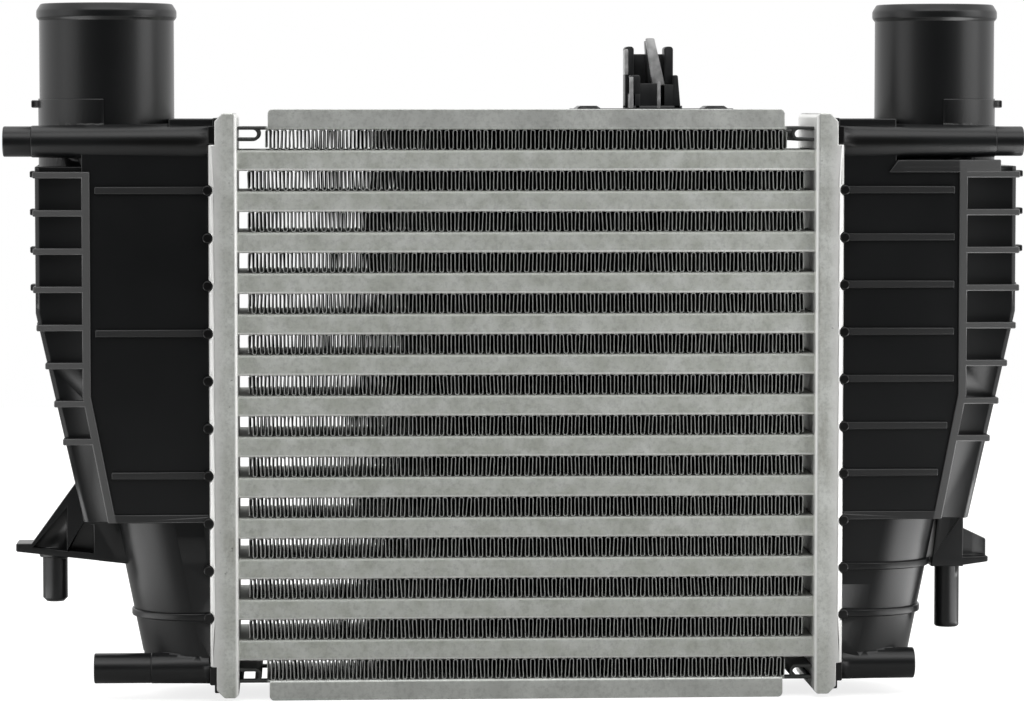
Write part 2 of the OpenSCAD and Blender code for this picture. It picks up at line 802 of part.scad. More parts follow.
// A horizontal bar along the tank's top edge, with a straight tip of its own radius
module top_bar(reach, body_r, tip_r) {
    round_bar(bar_x, reach - bar_tip, bar_root_r, body_r, bar_y, top_bar_z);
    round_bar(reach - bar_tip - overlap, reach, tip_r, tip_r, bar_y, top_bar_z);
}

// A bar along the tank's foot, moulded with a little draft, and its straight tip where it has one
module foot_bar(length, tip) {
    body_r = bar_r + bar_step;
    round_bar(bar_x, bar_x + length - tip, body_r + bar_draft, body_r, bar_y, bar_inset);
    if (tip > 0)
        round_bar(bar_x + length - tip - overlap, bar_x + length, bar_r, bar_r, bar_y, bar_inset);
}

// A locating peg that hangs from seat_z, with a chamfered tip
module peg(x, seat_z, length, chamfer) {
    translate([x, 0, seat_z - length]) {
        cylinder(h = chamfer, r1 = peg_r - chamfer, r2 = peg_r);
        translate([0, 0, chamfer])
            cylinder(h = length - chamfer + bracket_t / 2, r = peg_r);
    }
}

// Underside of the left bracket's raked foot plate
bracket_rake = 0.115;
left_tip_x = left_peg_x + 14.5;
function left_plate_z(x) = ledge_z - left_bracket_drop - (left_tip_x - x) * bracket_rake;

// The left bracket: a raked plate under a web with two pockets on each face
module left_bracket() {
    tip_z = left_plate_z(left_tip_x);
    root_x = left_lower_reach - 8;
    web_y = bracket_depth / 2;
    along_y(-web_y, web_y)
        polygon([
            [root_x, left_plate_z(root_x)],
            [left_tip_x, tip_z],
            [left_tip_x, tip_z + bracket_t],
            [left_tip_x - 6, tip_z + bracket_t],
            [left_peg_x - 8.4, ledge_z + 14],
            [root_x, ledge_z + 1],
        ]);
}

// The left peg, under a boss whose flat seat squares it to the raked plate
module left_peg() {
    seat_z = left_plate_z(left_peg_x - peg_r - peg_boss) - 0.3;
    translate([left_peg_x, 0, seat_z])
        cylinder(h = left_plate_z(left_peg_x) + bracket_t / 2 - seat_z, r = peg_r + peg_boss);
    peg(left_peg_x, seat_z, left_peg_len, 1.4);
}

// The pockets that are cut from the left bracket, front and back
module left_bracket_pockets() {
    floor_z = left_plate_z(left_tip_x) + 1.2;
    core_t = 1.2;
    for (s = [0, 1])
        mirror([0, s, 0])
            along_y(-bracket_depth, -core_t / 2) {
                polygon([
                    [left_peg_x - 4.8, ledge_z + 4.3],
                    [left_peg_x + 8, floor_z + 0.5],
                    [left_peg_x - 4.8, floor_z - 0.9],
                ]);
                polygon([
                    [left_peg_x - 11.4, ledge_z - 1.6],
                    [left_peg_x - 5.6, floor_z - 0.9],
                    [left_peg_x - 15, floor_z - 2],
                    [left_peg_x - 15, ledge_z - 2.4],
                ]);
            }
}

// The right bracket: a box under the ledge with a short flanged web outboard
module right_bracket() {
    box_low = ledge_z - right_bracket_drop;
    box_y = bracket_depth / 2;
    out_x = right_peg_x + 5.3;
    along_y(-box_y, box_y)
        polygon([
            [right_peg_x - 7.3, box_low],
            [out_x, box_low],
            [out_x, ledge_z + 1],
            [right_peg_x - 4.6, ledge_z + 1],
        ]);
    along_y(-box_y, box_y)
        polygon([
            [out_x - 1, box_low + 0.3],
            [out_x + 9.7, box_low + 1.8],
            [out_x + 9.7, box_low + 4],
            [out_x - 1, box_low + 3.6],
        ]);
    along_y(-1.5, 1.5)
        polygon([
            [out_x - 1, box_low + 1],
            [out_x + 9.7, box_low + 3],
            [out_x + 9.7, box_low + 10.1],
            [out_x - 1, box_low + 15.2],
        ]);
}

// A lip along the right duct's shoulder, proud like the ribs
module shoulder_lip(shelf_x) {
    lip_h = 2.4;
    for (s = [0, 1])
        mirror([0, s, 0])
            block([shelf_x + 2, -rib_y, shoulder_z - lip_h], [edge_x_top, overlap - half_depth, shoulder_z]);
}

module right_tank() {
    roof_x = edge_x + right_roof_len;
    shelf_x = roof_x + shelf_step;
    placed() color(nylon_colour)
        difference() {
            union() {
                tank_solid(
                    right_reach, right_lower_reach, right_spigot_r,
                    shelf_x, roof_x, shoulder_z, right_nose, right_nose_rows, 1, 1
                );
                shoulder_lip(shelf_x);
                top_bar(right_bar_reach, bar_r + 0.25, bar_r - 0.1);
                foot_bar(right_foot_bar_len, 0);
                right_bracket();
                peg(right_peg_x, ledge_z - right_bracket_drop, right_peg_len, 0.6);
            }
            tank_cavity(right_reach, right_lower_reach, right_spigot_r, shelf_x, roof_x);
        }
}

module left_tank() {
    shelf_x = duct_axis_x(left_reach, top_z);
    roof_x = edge_x + left_roof_len;
    placed() color(nylon_colour)
        mirror([1, 0, 0])
            difference() {
                union() {
                    tank_solid(
                        left_reach, left_lower_reach, left_spigot_r,
                        shelf_x, roof_x, shelf_z, left_nose, left_nose_rows, 3, 0
                    );
                    top_bar(left_bar_reach, bar_r + 0.25, bar_r);
                    foot_bar(left_foot_bar_len, foot_bar_tip);
                    difference() {
                        left_bracket();
                        left_bracket_pockets();
                    }
                    left_peg();
                }
                tank_cavity(left_reach, left_lower_reach, left_spigot_r, shelf_x, roof_x);
            }
}

// The nylon clip that sits in the top side plate's channel and holds a duct or a cable
module top_clip() {
    floor_z = top_z - plate_h + plate_sheet;
    deck_z = top_z + 0.3;
    side_y = tube_depth / 2 - plate_sheet - clip_gap;
    tower_x = clip_x + clip_len / 2;
    low_h = 0.48 * clip_h;
    wall = 3.4;
    placed() color(nylon_colour) {
        difference() {
            block([clip_x, -side_y, floor_z], [clip_x + clip_len, side_y, deck_z]);
            block(
                [clip_x + clip_wall, clip_wall - side_y, floor_z - 1],
                [clip_x + clip_len - clip_wall, side_y - clip_wall, deck_z - clip_wall]
            );
        }
        for (x = [clip_x, clip_x + clip_len - 10.8])
            along_y(-9, 9)
                polygon([
                    [x, deck_z - overlap],
                    [x + 10.8, deck_z - overlap],
                    [x + 8, top_z + clip_pad_h],
                    [x + 2.8, top_z + clip_pad_h],
                ]);
        // Tall side walls, the back wall between them and the tapered centre rib
        for (x = [tower_x - 9.9, tower_x + 5.2])
            block([x, -2, deck_z - overlap], [x + wall, 8, top_z + 0.88 * clip_h]);
        block(
            [tower_x - 8, 5.5, deck_z - overlap],
            [tower_x + 8, 8, top_z + 0.78 * clip_h]
        );
        along_y(-5, 6)
            polygon([
                [tower_x - 2.2, top_z + clip_h],
                [tower_x + 1.4, top_z + clip_h],
                [tower_x + 5.2, top_z + 0.35 * clip_h],
                [tower_x + 5.2, deck_z - overlap],
                [tower_x - 0.6, deck_z - overlap],
            ]);
        // Low front box
        for (x = [tower_x - 8.3, tower_x + 8.1])
            block([x, -9, deck_z - overlap], [x + wall, -1.5, top_z + low_h]);
        block([tower_x - 8, -9, deck_z - overlap], [tower_x + 10, -6.5, top_z + 0.36 * clip_h]);
    }
}

left_tank();
right_tank();
left_header();
right_header();
left_seal();
right_seal();
bottom_side_plate();
top_side_plate();
top_clip();
for (i = [0:tube_count - 1]) {
    tube(i);
    turbulator(i);
}
for (i = [0:tube_count])
    fin(i);
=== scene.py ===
import math

import bpy
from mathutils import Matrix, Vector


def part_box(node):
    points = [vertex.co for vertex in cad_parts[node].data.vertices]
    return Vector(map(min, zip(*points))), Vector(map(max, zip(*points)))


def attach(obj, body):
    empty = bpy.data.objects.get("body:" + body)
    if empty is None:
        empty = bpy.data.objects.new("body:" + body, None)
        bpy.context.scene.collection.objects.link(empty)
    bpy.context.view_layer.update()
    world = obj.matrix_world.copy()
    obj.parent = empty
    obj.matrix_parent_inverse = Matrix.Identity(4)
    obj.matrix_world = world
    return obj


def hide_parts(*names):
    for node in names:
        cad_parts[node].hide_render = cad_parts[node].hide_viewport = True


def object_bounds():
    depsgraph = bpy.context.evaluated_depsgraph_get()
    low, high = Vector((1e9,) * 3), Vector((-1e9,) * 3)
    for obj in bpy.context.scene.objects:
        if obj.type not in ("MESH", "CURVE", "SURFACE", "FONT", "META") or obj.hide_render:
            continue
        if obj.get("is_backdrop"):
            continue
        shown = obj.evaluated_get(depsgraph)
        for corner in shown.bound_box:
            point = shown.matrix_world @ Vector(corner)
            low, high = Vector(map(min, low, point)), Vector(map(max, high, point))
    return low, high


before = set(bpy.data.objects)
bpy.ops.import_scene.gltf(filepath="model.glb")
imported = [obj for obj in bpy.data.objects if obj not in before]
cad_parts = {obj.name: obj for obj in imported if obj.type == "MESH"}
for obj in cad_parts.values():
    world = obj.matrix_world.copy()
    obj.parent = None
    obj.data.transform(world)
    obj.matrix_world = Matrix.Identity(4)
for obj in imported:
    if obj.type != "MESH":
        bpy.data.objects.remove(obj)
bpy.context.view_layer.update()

# Camera
# The cooler was photographed nearly square on with a long lens, from a little left of its
# middle and level with its core's top, turned three degrees right and looking slightly down.
camera = bpy.data.objects.new("camera", bpy.data.cameras.new("camera"))
bpy.context.scene.collection.objects.link(camera)
camera.data.lens = 139.4
camera.data.sensor_width = 36
camera.location = (-0.0831, -1.5263, 0.2253)
camera_turn, camera_dip = math.radians(3.04), math.radians(3.51)
camera.rotation_euler = (math.pi / 2 - camera_dip, 0, -camera_turn)
bpy.context.scene.camera = camera


# Studio
# A pale table in a white tent that is open around the lens. The tent's walls draw the
# highlights on the black tanks' rounds, and its dark opening leaves their flat faces dark.
# Boxes lift the edges and the aluminium, and lit cards on the table the tanks' lower rounds.
def linear(hex_colour):
    """The linear colour of an sRGB hex value."""
    parts = [int(hex_colour[i:i + 2], 16) / 255 for i in (1, 3, 5)]
    return tuple(c / 12.92 if c < 0.04045 else ((c + 0.055) / 1.055) ** 2.4 for c in parts) + (1,)


def add_node(tree, kind, links=None, **settings):
    """Adds a node. Settings name its attributes or inputs, with _1 for the input of that
    number, and links its linked inputs."""
    node = tree.nodes.new(kind)
    for name, value in settings.items():
        if hasattr(node, name):
            setattr(node, name, value)
    for name, value in settings.items():
        if not hasattr(node, name):
            socket = int(name[1:]) if name[0] == "_" else name.replace("_", " ")
            node.inputs[socket].default_value = value
    for name, source in (links or {}).items():
        tree.links.new(source, node.inputs[name])
    return node


bpy.context.scene.view_settings.view_transform = "Standard"
world = bpy.data.worlds.new("studio")
bpy.context.scene.world = world
world.use_nodes = True
surround = world.node_tree
surround.nodes.clear()
seen = add_node(surround, "ShaderNodeBackground", Color=(1, 1, 1, 1), Strength=1.0)
look = add_node(surround, "ShaderNodeTexCoord")
way = add_node(surround, "ShaderNodeSeparateXYZ", {"Vector": look.outputs["Generated"]})
turned = add_node(surround, "ShaderNodeMapRange", {"Value": way.outputs["Y"]}, From_Min=-1.0)
# The tent's brightness, from the dark opening round the lens to the white wall behind
tent = add_node(surround, "ShaderNodeValToRGB", {"Fac": turned.outputs["Result"]})
tent.color_ramp.elements[0].color = (0.03, 0.03, 0.03, 1)
for place, level in ((0.03, 0.07), (0.117, 0.24), (0.25, 0.52), (0.413, 0.88)):
    tent.color_ramp.elements.new(place).color = (level, level, level, 1)
lit = add_node(surround, "ShaderNodeBackground", {"Color": tent.outputs["Color"]}, Strength=1.0)
path = add_node(surround, "ShaderNodeLightPath")
mix = add_node(
    surround, "ShaderNodeMixShader",
    {0: path.outputs["Is Camera Ray"], 1: lit.outputs[0], 2: seen.outputs[0]},
)
add_node(surround, "ShaderNodeOutputWorld", {"Surface": mix.outputs[0]})

for name, place, size, power, aim in (
    ("left_box", (-1.3, -0.6, 0.5), (0.8, 1.0), 1.5, (0, 0, 0.12)),
    ("right_box", (0.9, -0.35, 0.5), (0.6, 0.7), 2.2, (0, 0, 0.12)),
    ("top_box", (0, 0.1, 1.5), (1.4, 0.9), 4, (0, 0, 0.12)),
    ("front_box", (0, -1.1, 1.45), (2.2, 0.9), 10, (0, 0, 0.12)),
    ("left_card", (-0.35, -0.12, 0.003), (0.2, 0.32), 0.5, (-0.35, -0.12, 1)),
    ("right_card", (0.34, -0.12, 0.003), (0.2, 0.32), 0.9, (0.34, -0.12, 1)),
):
    lamp = bpy.data.objects.new(name, bpy.data.lights.new(name, "AREA"))
    bpy.context.scene.collection.objects.link(lamp)
    lamp.data.shape = "RECTANGLE"
    lamp.data.size, lamp.data.size_y = size
    lamp.data.energy = power
    lamp.location = place
    lamp.rotation_euler = (Vector(aim) - Vector(place)).to_track_quat("-Z", "Y").to_euler()


def new_material(name):
    material = bpy.data.materials.new(name)
    material.use_nodes = True
    material.node_tree.nodes.clear()
    return material


# White paper is matt and takes a soft shadow, and its faint clouds are about 20 cm across. It
# glows for the camera alone, as paper does that a photographer lights apart.
bpy.ops.mesh.primitive_plane_add(size=1.9, location=(0, 0.5, 0))
floor = bpy.context.object
floor.name = "floor"
paper = new_material("white paper floor")
tree = paper.node_tree
grain = add_node(tree, "ShaderNodeTexNoise", Scale=9.0, Detail=3.0)
shade = add_node(tree, "ShaderNodeValToRGB", {"Fac": grain.outputs["Fac"]})
shade.color_ramp.elements[0].color = linear("#a6a6a5")
shade.color_ramp.elements[1].color = linear("#afafae")
looked_at = add_node(tree, "ShaderNodeLightPath").outputs["Is Camera Ray"]
glow = add_node(tree, "ShaderNodeMath", {0: looked_at}, operation="MULTIPLY", _1=0.8)
paper_shader = add_node(
    tree, "ShaderNodeBsdfPrincipled",
    {"Base Color": shade.outputs["Color"], "Emission Strength": glow.outputs[0]},
    Roughness=0.85, Emission_Color=(1, 1, 1, 1),
)
add_node(tree, "ShaderNodeOutputMaterial", {"Surface": paper_shader.outputs[0]})
floor.data.materials.append(paper)
floor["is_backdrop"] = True


# Flat tubes
# Thirteen tubes folded from clad aluminium sheet and brazed in an oven, which leaves them
# a flat, faintly greenish grey. A painted highlight runs along each tube's lower rounded edge,
# and painted shade along its upper one.
def brazed_aluminium(
    name, base, worn, roughness, mottle_mm=9, stain=None, drawn=None, dull_and_shaded=None, rolled=None
):
    """Oven-brazed aluminium sheet: a matt grey skin, cloudy at mottle_mm, with fine grit.
    stain is the colour of streaks and pits. drawn gives the middle of the lowest tube, the
    distance to the next one and half a tube's flat height, past which the sheet carries a
    painted highlight below, and painted shade above, where the light would bleach it.
    dull_and_shaded gives the middle and the distance along X past which it is painted dark,
    for the straps' duller unclad sheet and painted shade. rolled gives the middle and the
    distances of a pan's inner and outer edge, which carry a painted highlight."""
    # The sheet's grit is about 0.1 mm and its flux specks 0.4 mm, both too fine to show, so
    # they are drawn coarser. The streaks and pits have their real size.
    grit_mm, flux_mm, streak_mm, pit_mm = 0.7, 1.6, 9, 3
    material = new_material(name)
    tree = material.node_tree
    place = add_node(tree, "ShaderNodeTexCoord").outputs["Object"]
    cloud = add_node(
        tree, "ShaderNodeTexNoise", {"Vector": place},
        Scale=1000 / mottle_mm, Detail=5.0, Roughness=0.6,
    )
    grit = add_node(
        tree, "ShaderNodeTexNoise", {"Vector": place}, Scale=1000 / grit_mm, Detail=2.0
    )
    skin = add_node(tree, "ShaderNodeValToRGB", {"Fac": cloud.outputs["Fac"]})
    skin.color_ramp.elements[0].position = 0.36
    skin.color_ramp.elements[0].color = linear(base)
    skin.color_ramp.elements[1].position = 0.66
    skin.color_ramp.elements[1].color = linear(worn)
    colour = skin.outputs["Color"]
    speck = add_node(
        tree, "ShaderNodeTexNoise", {"Vector": place},
        Scale=1000 / flux_mm, Detail=3.0, Roughness=0.7,
    )
    flux = add_node(
        tree, "ShaderNodeMapRange", {"Value": speck.outputs["Fac"]},
        From_Min=0.45, From_Max=0.8, To_Max=0.36,
    )
    # Each coat is a cover, from bare to full, and its colour
    coats = [(flux.outputs["Result"], "#7f817c")]
    if stain:
        run = add_node(tree, "ShaderNodeMapping", {"Vector": place}, Scale=(1, 1, 0.3))
        low = add_node(
            tree, "ShaderNodeTexNoise", {"Vector": run.outputs["Vector"]},
            Scale=1000 / streak_mm, Detail=6.0, Roughness=0.7,
        )
        streaks = add_node(
            tree, "ShaderNodeMapRange", {"Value": low.outputs["Fac"]},
            From_Min=0.54, From_Max=0.78, To_Max=0.7,
        )
        coats.append((streaks.outputs["Result"], stain))
        fleck = add_node(
            tree, "ShaderNodeTexNoise", {"Vector": place},
            Scale=1000 / pit_mm, Detail=3.0, Roughness=0.6,
        )
        pits = add_node(
            tree, "ShaderNodeMapRange", {"Value": fleck.outputs["Fac"]},
            From_Min=0.68, From_Max=0.74, To_Max=0.7,
        )
        coats.append((pits.outputs["Result"], "#6f6e69"))
    along = add_node(tree, "ShaderNodeSeparateXYZ", {"Vector": place})
    # Each tube's lower rounded edge is painted near white as a painted highlight, and its upper
    # one darker grey as painted shade
    if drawn:
        middle, pitch, half = drawn
        edge = 0.0005
        count = add_node(
            tree, "ShaderNodeMath", {0: along.outputs["Z"]},
            operation="MULTIPLY_ADD", _1=1 / pitch, _2=-middle / pitch,
        )
        nearest = add_node(tree, "ShaderNodeMath", {0: count.outputs[0]}, operation="ROUND")
        off = add_node(
            tree, "ShaderNodeMath", {0: count.outputs[0], 1: nearest.outputs[0]},
            operation="SUBTRACT",
        )
        lower_edge_highlight = add_node(
            tree, "ShaderNodeMapRange", {"Value": off.outputs[0]},
            From_Min=-half / pitch, From_Max=-(half + edge) / pitch,
        )
        upper_edge_shade = add_node(
            tree, "ShaderNodeMapRange", {"Value": off.outputs[0]},
            From_Min=half / pitch, From_Max=(half + edge) / pitch,
        )
        coats += [(lower_edge_highlight.outputs["Result"], "#fdfdfb"), (upper_edge_shade.outputs["Result"], "#b4b6b1")]
    # Past the straps' start the sheet is painted dark grey: the straps' duller unclad sheet and
    # painted shade
    if dull_and_shaded:
        middle, reach = dull_and_shaded
        side = add_node(
            tree, "ShaderNodeMath", {0: along.outputs["X"]}, operation="SUBTRACT", _1=middle
        )
        off = add_node(tree, "ShaderNodeMath", {0: side.outputs[0]}, operation="ABSOLUTE")
        strap = add_node(
            tree, "ShaderNodeMapRange", {"Value": off.outputs[0]},
            From_Min=reach, From_Max=reach + 0.001,
        )
        coats.append((strap.outputs["Result"], "#565756"))
    # A pan's inner and outer rims are painted near white as a painted highlight
    if rolled:
        middle, inner, outer = rolled
        side = add_node(
            tree, "ShaderNodeMath", {0: along.outputs["X"]}, operation="SUBTRACT", _1=middle
        )
        off = add_node(tree, "ShaderNodeMath", {0: side.outputs[0]}, operation="ABSOLUTE")
        lip = add_node(
            tree, "ShaderNodeMapRange", {"Value": off.outputs[0]},
            From_Min=outer - 0.006, From_Max=outer - 0.002,
        )
        fold_highlight = add_node(
            tree, "ShaderNodeMapRange", {"Value": off.outputs[0]},
            From_Min=inner + 0.0016, From_Max=inner + 0.0008,
        )
        rim_highlight = add_node(
            tree, "ShaderNodeMath", {0: lip.outputs["Result"], 1: fold_highlight.outputs["Result"]},
            operation="MAXIMUM",
        )
        coats.append((rim_highlight.outputs[0], "#fafaf8"))
    for cover, paint in coats:
        coat = add_node(
            tree, "ShaderNodeMix", {0: cover, 6: colour}, data_type="RGBA", _7=linear(paint)
        )
        colour = coat.outputs[2]
    polish = add_node(
        tree, "ShaderNodeMapRange", {"Value": cloud.outputs["Fac"]},
        To_Min=roughness - 0.06, To_Max=roughness + 0.08,
    )
    tooth = add_node(
        tree, "ShaderNodeBump", {"Height": grit.outputs["Fac"]}, Strength=0.12, Distance=0.0002
    )
    shader = add_node(
        tree, "ShaderNodeBsdfPrincipled",
        {
            "Base Color": colour,
            "Roughness": polish.outputs["Result"],
            "Normal": tooth.outputs["Normal"],
        },
        Metallic=1.0,
    )
    add_node(tree, "ShaderNodeOutputMaterial", {"Surface": shader.outputs[0]})
    return material


# Brazed tube sheet is even and dull, with no reflection sharp enough to read
first_tube_z, tube_pitch, tube_half_flat = 0.0193, 0.0155, 0.0029
tube_finish = brazed_aluminium(
    "brazed tube sheet", "#cfd2ca", "#e3e5e1", 0.6,
    drawn=(first_tube_z, tube_pitch, tube_half_flat),
)
for i in range(1, 14):
    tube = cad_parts[f"tube_{i:02d}"]
    tube.data.materials.clear()
    tube.data.materials.append(tube_finish)


# Fins
# Each row is one thin aluminium strip rolled into a wave, with upright walls between round
# crests that are brazed to the tubes above and below. The first and last rows are shorter,
# and end a millimetre from the side plates' loops.
fin_pitch, fin_height, fin_sheet, fin_depth = 0.00295, 0.0075, 0.0002, 0.047
crest_r = fin_pitch / 4
crest_steps = 8
wall_top = fin_height / 2 - fin_sheet / 2 - crest_r
# How much further the first and last rows run than their CAD solids
outer_reach = 0.0022
# The strip is drawn a little thicker than it is, because its louvres, which stand out on both
# sides, are too fine to show
louvred_sheet = 0.0003
# Rolled strip is smoother than the tubes, so its crests catch fine bright lines
fin_finish = brazed_aluminium("rolled fin strip", "#cbcdca", "#dcdedb", 0.5, mottle_mm=5)
# Points that are this near each other, or this near a plane, are taken to lie on it
hair = 1e-5


def only(piece):
    """Selects the piece alone."""
    bpy.ops.object.select_all(action="DESELECT")
    piece.select_set(True)
    bpy.context.view_layer.objects.active = piece


def pick(piece, test):
    """In edit mode, selects the edges and faces whose points all pass the test."""
    bpy.ops.mesh.select_mode(type="VERT")
    bpy.ops.mesh.select_all(action="DESELECT")
    bpy.ops.object.mode_set(mode="OBJECT")
    for vertex in piece.data.vertices:
        vertex.select = test(vertex.co)
    bpy.ops.object.mode_set(mode="EDIT")
    bpy.ops.mesh.select_mode(type="EDGE")


bpy.ops.object.select_all(action="DESELECT")
bpy.ops.mesh.primitive_plane_add(
    size=1, location=(-crest_r, 0, 0), rotation=(0, math.pi / 2, 0)
)
wave = bpy.context.object
wave.scale = (2 * wall_top, fin_depth, 1)
only(wave)
bpy.ops.object.transform_apply(location=True, rotation=True, scale=True)
bpy.ops.object.mode_set(mode="EDIT")
pick(wave, lambda co: co.z > wall_top - hair)
bpy.ops.mesh.spin(
    steps=crest_steps, angle=-math.pi, center=(0, 0, wall_top), axis=(0, 1, 0)
)
pick(wave, lambda co: co.x > crest_r - hair / 2 and co.z > wall_top - hair)
bpy.ops.mesh.extrude_region_move(TRANSFORM_OT_translate={"value": (0, 0, -2 * wall_top)})
pick(wave, lambda co: co.x > crest_r - hair / 2 and co.z < hair - wall_top)
bpy.ops.mesh.spin(
    steps=crest_steps, angle=math.pi, center=(2 * crest_r, 0, -wall_top), axis=(0, 1, 0)
)
# Louvres turned out of the walls narrow the view through them. A shallow zigzag along the
# depth does the same.
zigzag, zigzag_step = 0.00045, fin_depth / 6
for k, turn in enumerate((1, -1, 1, -1, 1), start=1):
    depth = k * zigzag_step - fin_depth / 2
    bpy.ops.mesh.select_all(action="SELECT")
    bpy.ops.mesh.bisect(plane_co=(0, depth, 0), plane_no=(0, 1, 0))
    pick(wave, lambda co: abs(co.y - depth) < hair)
    bpy.ops.transform.translate(value=(turn * zigzag, 0, 0))
bpy.ops.object.mode_set(mode="OBJECT")
wave.data.materials.append(fin_finish)
# Handling has nudged the soft walls a few tenths of a millimetre this way and that
bends = bpy.data.textures.new("fin bends", "CLOUDS")
bends.noise_scale = 0.006
bend_reach = 0.0009

for i in range(1, 15):
    low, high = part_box(f"fin_{i:02d}")
    row = wave.copy()
    row.data = wave.data.copy()
    row.name = f"fin_row_{i:02d}"
    bpy.context.scene.collection.objects.link(row)
    only(row)
    span = high.x - low.x - fin_sheet + (outer_reach if i in (1, 14) else 0)
    walls = int(span / (fin_pitch / 2)) + 1
    repeat = row.modifiers.new("waves", "ARRAY")
    repeat.count = (walls + 1) // 2
    repeat.use_relative_offset = False
    repeat.use_constant_offset = True
    repeat.constant_offset_displace = (fin_pitch, 0, 0)
    repeat.use_merge_vertices = True
    repeat.merge_threshold = hair
    bpy.ops.object.modifier_apply(modifier="waves")
    # The strip is cut off behind its last wall, whose zigzag stands past its ends
    last = (walls - 1) * fin_pitch / 2 - crest_r
    bpy.ops.object.mode_set(mode="EDIT")
    pick(row, lambda co: co.x > last + (
        hair if abs(abs(co.y) - fin_depth / 2) < hair else zigzag + 5 * hair
    ))
    bpy.ops.mesh.delete(type="VERT")
    bpy.ops.mesh.select_all(action="SELECT")
    bpy.ops.mesh.delete_loose()
    bpy.ops.object.mode_set(mode="OBJECT")
    row.location = (low + high) / 2 - Vector(((last - crest_r) / 2, 0, 0))
    bpy.ops.object.transform_apply(location=True)
    lean = row.modifiers.new("lean", "DISPLACE")
    lean.texture = bends
    lean.texture_coords = "LOCAL"
    lean.direction = "X"
    lean.strength = bend_reach
    bpy.ops.object.modifier_apply(modifier="lean")
    sheet = row.modifiers.new("sheet", "SOLIDIFY")
    sheet.thickness = louvred_sheet
    sheet.offset = 0
    bpy.ops.object.modifier_apply(modifier="sheet")
    bpy.ops.object.shade_smooth_by_angle(angle=math.radians(40))
    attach(row, "root")
    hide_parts(f"fin_{i:02d}")
bpy.data.objects.remove(wave)


# Turbulators
# A wavy strip inside each tube stirs the charge air. They can't be seen from outside and
# keep the plain rolled finish of the fins.
for i in range(1, 14):
    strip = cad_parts[f"turbulator_{i:02d}"]
    strip.data.materials.clear()
    strip.data.materials.append(fin_finish)


# Headers
# Each is a pan drawn from thicker aluminium sheet, with softly rounded corners, and a lip
# rolled over the tank's foot all round. Handling and flux leave faint brown-grey stains.
def rounded_copy(node, name, width, rings=()):
    """A copy of a CAD solid with its outside edges rounded by width, where its faces have room.
    rings are heights at which its long faces are parted, which keeps their shading even."""
    piece = bpy.data.objects.new(name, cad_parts[node].data.copy())
    bpy.context.scene.collection.objects.link(piece)
    only(piece)
    piece.data.materials.clear()
    bpy.ops.object.mode_set(mode="EDIT")
    bpy.ops.mesh.select_all(action="SELECT")
    bpy.ops.mesh.remove_doubles(threshold=2e-6)
    bpy.ops.mesh.dissolve_limited(angle_limit=math.radians(0.1))
    for height in rings:
        bpy.ops.mesh.select_all(action="SELECT")
        bpy.ops.mesh.bisect(plane_co=(0, 0, height), plane_no=(0, 0, 1))
    bpy.ops.object.mode_set(mode="OBJECT")
    mesh = piece.data
    # For each edge, its faces, each with its way inwards and how far it reaches that way
    sides = {}
    for face in mesh.polygons:
        rim = list(face.loop_indices)
        for here, after in zip(rim, rim[1:] + rim[:1]):
            start, end = (mesh.vertices[mesh.loops[k].vertex_index].co for k in (here, after))
            inward = face.normal.cross(end - start).normalized()
            reach = max((mesh.vertices[v].co - start).dot(inward) for v in face.vertices)
            sides.setdefault(mesh.loops[here].edge_index, []).append((face, inward, reach))
    # Sharp outside edges are rounded where each face is wide enough for two roundings
    sharpest, room = math.radians(30), 2.1 * width
    soft = mesh.attributes.new("bevel_weight_edge", "FLOAT", "EDGE")
    for index, pair in sides.items():
        if len(pair) == 2:
            (one, _, reach_one), (other, inward, reach_other) = pair
            sharp = one.normal.angle(other.normal, 0) > sharpest
            outside = one.normal.dot(inward) < 0
            if sharp and outside and min(reach_one, reach_other) > room:
                soft.data[index].value = 1
    edge = piece.modifiers.new("edge", "BEVEL")
    edge.width = width
    edge.segments = 2
    edge.limit_method = "WEIGHT"
    edge.use_clamp_overlap = False
    bpy.ops.object.modifier_apply(modifier="edge")
    bpy.ops.object.shade_smooth_by_angle(angle=math.radians(50))
    even = piece.modifiers.new("even", "WEIGHTED_NORMAL")
    even.keep_sharp = True
    bpy.ops.object.modifier_apply(modifier="even")
    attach(piece, "root")
    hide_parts(node)
    return piece


# The core's middle in the frame, and how far from it a pan's folded and rolled edges lie
core_x, core_y = 0.0023, -0.002375
pan_fold, pan_lip = 0.1095, 0.1204
# Drawn sheet is brighter than the tubes, with stained streaks and a painted highlight along each
# edge
header_finish = brazed_aluminium(
    "drawn header sheet", "#dcded8", "#eff1ed", 0.55,
    stain="#a3a196", rolled=(core_x, pan_fold, pan_lip),
)
for side in ("left", "right"):
    header = rounded_copy(f"{side}_header", f"{side}_header_pan", 0.0004)
    header.data.materials.append(header_finish)


# Seals
# A frame of black moulded rubber lies round each header's floor, where the tank's foot
# squeezes it. Its edge is dead black, with a faint dusty bloom.
bloom_mm = 2.5
rubber = new_material("moulded rubber")
tree = rubber.node_tree
place = add_node(tree, "ShaderNodeTexCoord").outputs["Object"]
bloom = add_node(
    tree, "ShaderNodeTexNoise", {"Vector": place}, Scale=1000 / bloom_mm, Detail=3.0
)
tone = add_node(tree, "ShaderNodeValToRGB", {"Fac": bloom.outputs["Fac"]})
tone.color_ramp.elements[0].color = linear("#161616")
tone.color_ramp.elements[1].color = linear("#222222")
rubber_shader = add_node(
    tree, "ShaderNodeBsdfPrincipled", {"Base Color": tone.outputs["Color"]}, Roughness=0.7
)
add_node(tree, "ShaderNodeOutputMaterial", {"Surface": rubber_shader.outputs[0]})
for side in ("left", "right"):
    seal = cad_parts[f"{side}_seal"]
    seal.data.materials.clear()
    seal.data.materials.append(rubber)


# Side plates
# A channel of aluminium sheet closes the core at the top and at the bottom. A strap at each
# end is folded into a loop, with a window, that gives as the core warms.
strap_start = 0.0982
